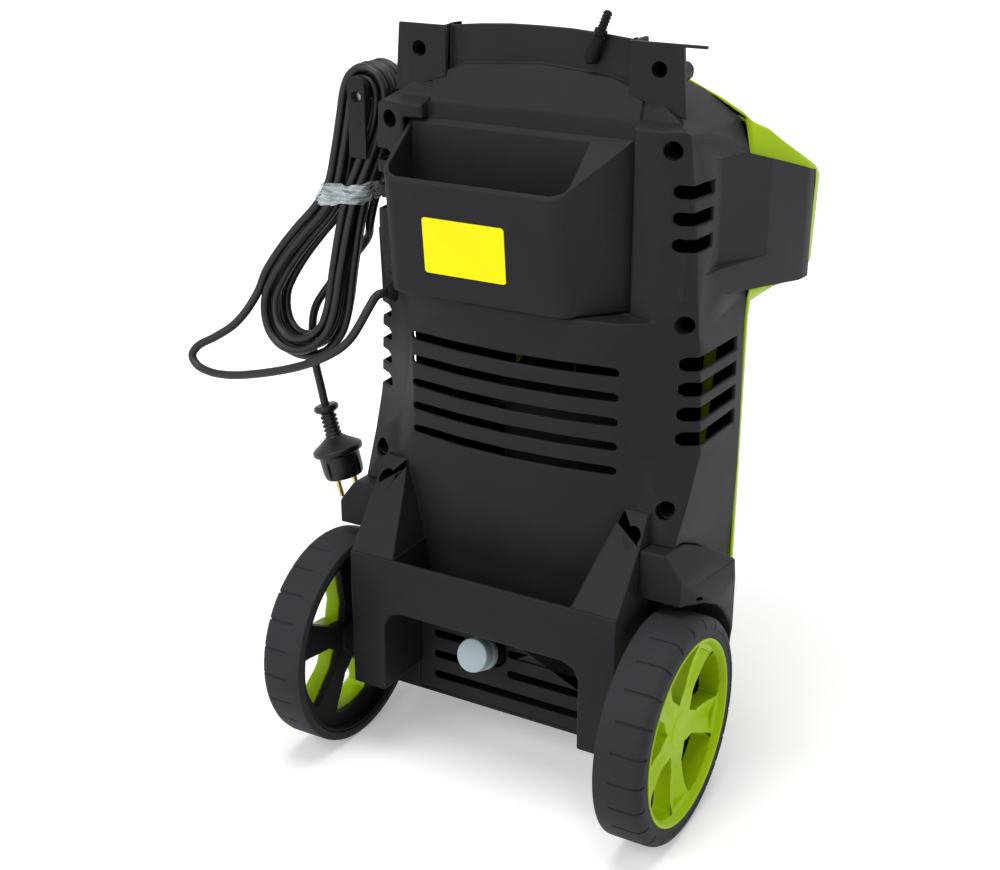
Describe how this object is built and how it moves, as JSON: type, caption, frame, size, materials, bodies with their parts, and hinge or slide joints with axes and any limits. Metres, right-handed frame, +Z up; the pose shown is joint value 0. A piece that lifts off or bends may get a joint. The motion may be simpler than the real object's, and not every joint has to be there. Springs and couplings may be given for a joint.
{
  "type": "pressure washer",
  "caption": "Upright electric pressure washer on wheels with a tool pocket, motor, axial pump, rotary switch and a mains cord hung in a hank on its side hook.",
  "frame": {"origin": "on the floor, under the middle of the machine's box without its cord", "axes": "+Z up; +Y towards the back, where the tool pocket and the water inlet are; +X towards the side with the cord hook"},
  "size_m": [0.486, 0.322, 0.6134],
  "materials": {
    "black_plastic": "fine-grained satin",
    "green_plastic": "semi-gloss",
    "dark_trim": "satin",
    "soft_black": "matt",
    "grey_plastic": "satin",
    "black_rubber": "matt",
    "tyre_rubber": "matt, grooved",
    "cord_rubber": "satin",
    "plated_steel": "zinc plated",
    "cast_metal": "as cast",
    "copper": "varnished",
    "yellow_film": "bare film",
    "clear_tape": "clear, glossy"
  },
  "bodies": {
    "machine": {"rear_casing": "black_plastic", "front_casing": "green_plastic", "front_trim_panel": "dark_trim", "chassis": "black_plastic", "rear_grille": "black_plastic", "left_foot_pad": "black_rubber", "right_foot_pad": "black_rubber", "tool_pocket": "black_plastic", "pocket_sticker": "yellow_film", "cord_hook": "black_plastic", "cord_hook_screw": "plated_steel", "right_pillar_screw": "plated_steel", "left_pillar_screw": "plated_steel", "right_middle_screw": "plated_steel", "right_upper_arm_screw": "plated_steel", "left_upper_arm_screw": "plated_steel", "right_lower_arm_screw": "plated_steel", "left_lower_arm_screw": "plated_steel", "hose_nipple": "soft_black", "left_axle": "plated_steel", "left_axle_clip": "plated_steel", "right_axle": "plated_steel", "right_axle_clip": "plated_steel", "lower_motor_bracket": "cast_metal", "upper_motor_bracket": "cast_metal", "lower_bearing": "plated_steel", "upper_bearing": "plated_steel", "motor_housing": "cast_metal", "motor_stator": "copper", "pump_housing": "cast_metal", "pump_head": "cast_metal", "plunger_1": "plated_steel", "plunger_2": "plated_steel", "plunger_3": "plated_steel", "plunger_spring_1": "plated_steel", "plunger_spring_2": "plated_steel", "plunger_spring_3": "plated_steel", "inlet_connector": "soft_black", "inlet_filter": "plated_steel", "outlet_connector": "plated_steel", "pressure_switch": "soft_black", "capacitor": "grey_plastic", "switch_box": "soft_black", "cord_gland": "soft_black", "cord_lead": "cord_rubber", "cord_hank": "cord_rubber", "cord_drop": "cord_rubber", "hank_tie": "clear_tape", "mains_plug": "cord_rubber"},
    "left_road_wheel": {"left_tyre": "tyre_rubber", "left_wheel": "soft_black", "left_wheel_trim": "green_plastic"},
    "right_road_wheel": {"right_tyre": "tyre_rubber", "right_wheel": "soft_black", "right_wheel_trim": "green_plastic"},
    "rotor": {"motor_rotor": "plated_steel", "cooling_fan": "soft_black", "swash_plate": "plated_steel"},
    "knob": {"switch_knob": "soft_black"},
    "cap": {"inlet_cap": "grey_plastic"}
  },
  "joints": [
    {"name": "left_wheel_spin", "type": "hinge", "parent": "machine", "child": "left_road_wheel", "pos_m": [0.1505, 0.071, 0.09], "axis": [1, 0, 0], "continuous": true},
    {"name": "right_wheel_spin", "type": "hinge", "parent": "machine", "child": "right_road_wheel", "pos_m": [-0.1505, 0.071, 0.09], "axis": [1, 0, 0], "continuous": true},
    {"name": "motor_spin", "type": "hinge", "parent": "machine", "child": "rotor", "pos_m": [0, -0.054, 0.218], "axis": [0, 0, 1], "continuous": true},
    {"name": "switch_turn", "type": "hinge", "parent": "machine", "child": "knob", "pos_m": [0, -0.15, 0.4], "axis": [0, 1, 0], "range_deg": [0, 90]},
    {"name": "cap_pull", "type": "slide", "parent": "machine", "child": "cap", "axis": [0, 0.9394, 0.3429], "range_m": [0, 0.03]}
  ]
}
